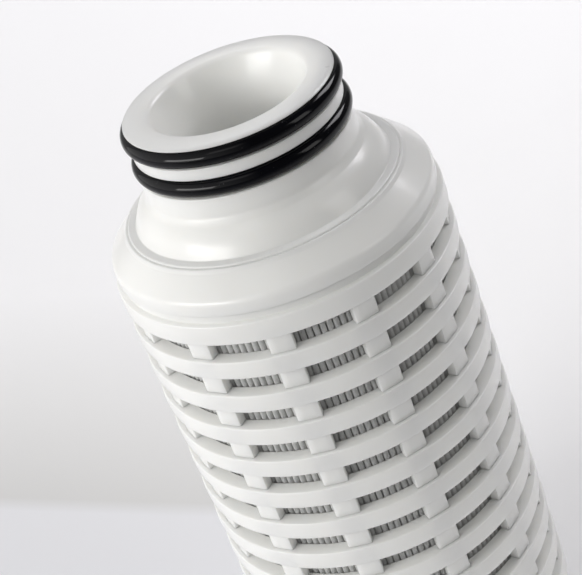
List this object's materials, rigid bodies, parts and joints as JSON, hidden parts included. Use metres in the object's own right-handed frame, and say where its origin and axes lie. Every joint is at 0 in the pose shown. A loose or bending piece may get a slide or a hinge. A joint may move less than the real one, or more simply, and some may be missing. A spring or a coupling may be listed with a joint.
{
  "type": "pleated filter cartridge",
  "caption": "Pleated filter cartridge in a slotted white cage, with a closed flat bottom cap and an open spigot sealed by a pair of black O-rings.",
  "frame": {"origin": "centre of the flat bottom face of the closed cap", "axes": "+Z along the cartridge axis, towards the open spigot; +X points at the middle of a column of cage slots"},
  "size_m": [0.069, 0.069, 0.1491],
  "materials": {
    "white_polypropylene": "satin natural white",
    "black_elastomer": "smooth, slightly glossy",
    "support_nonwoven": "soft fibrous white",
    "membrane_sheet": "fine matte white"
  },
  "bodies": {
    "root": {"spigot_adapter": "white_polypropylene", "upper_o_ring": "black_elastomer", "lower_o_ring": "black_elastomer", "top_end_cap": "white_polypropylene", "outer_cage": "white_polypropylene", "upstream_support_layer": "support_nonwoven", "filter_membrane": "membrane_sheet", "downstream_support_layer": "support_nonwoven", "inner_core": "white_polypropylene", "bottom_end_cap": "white_polypropylene"}
  },
  "joints": []
}
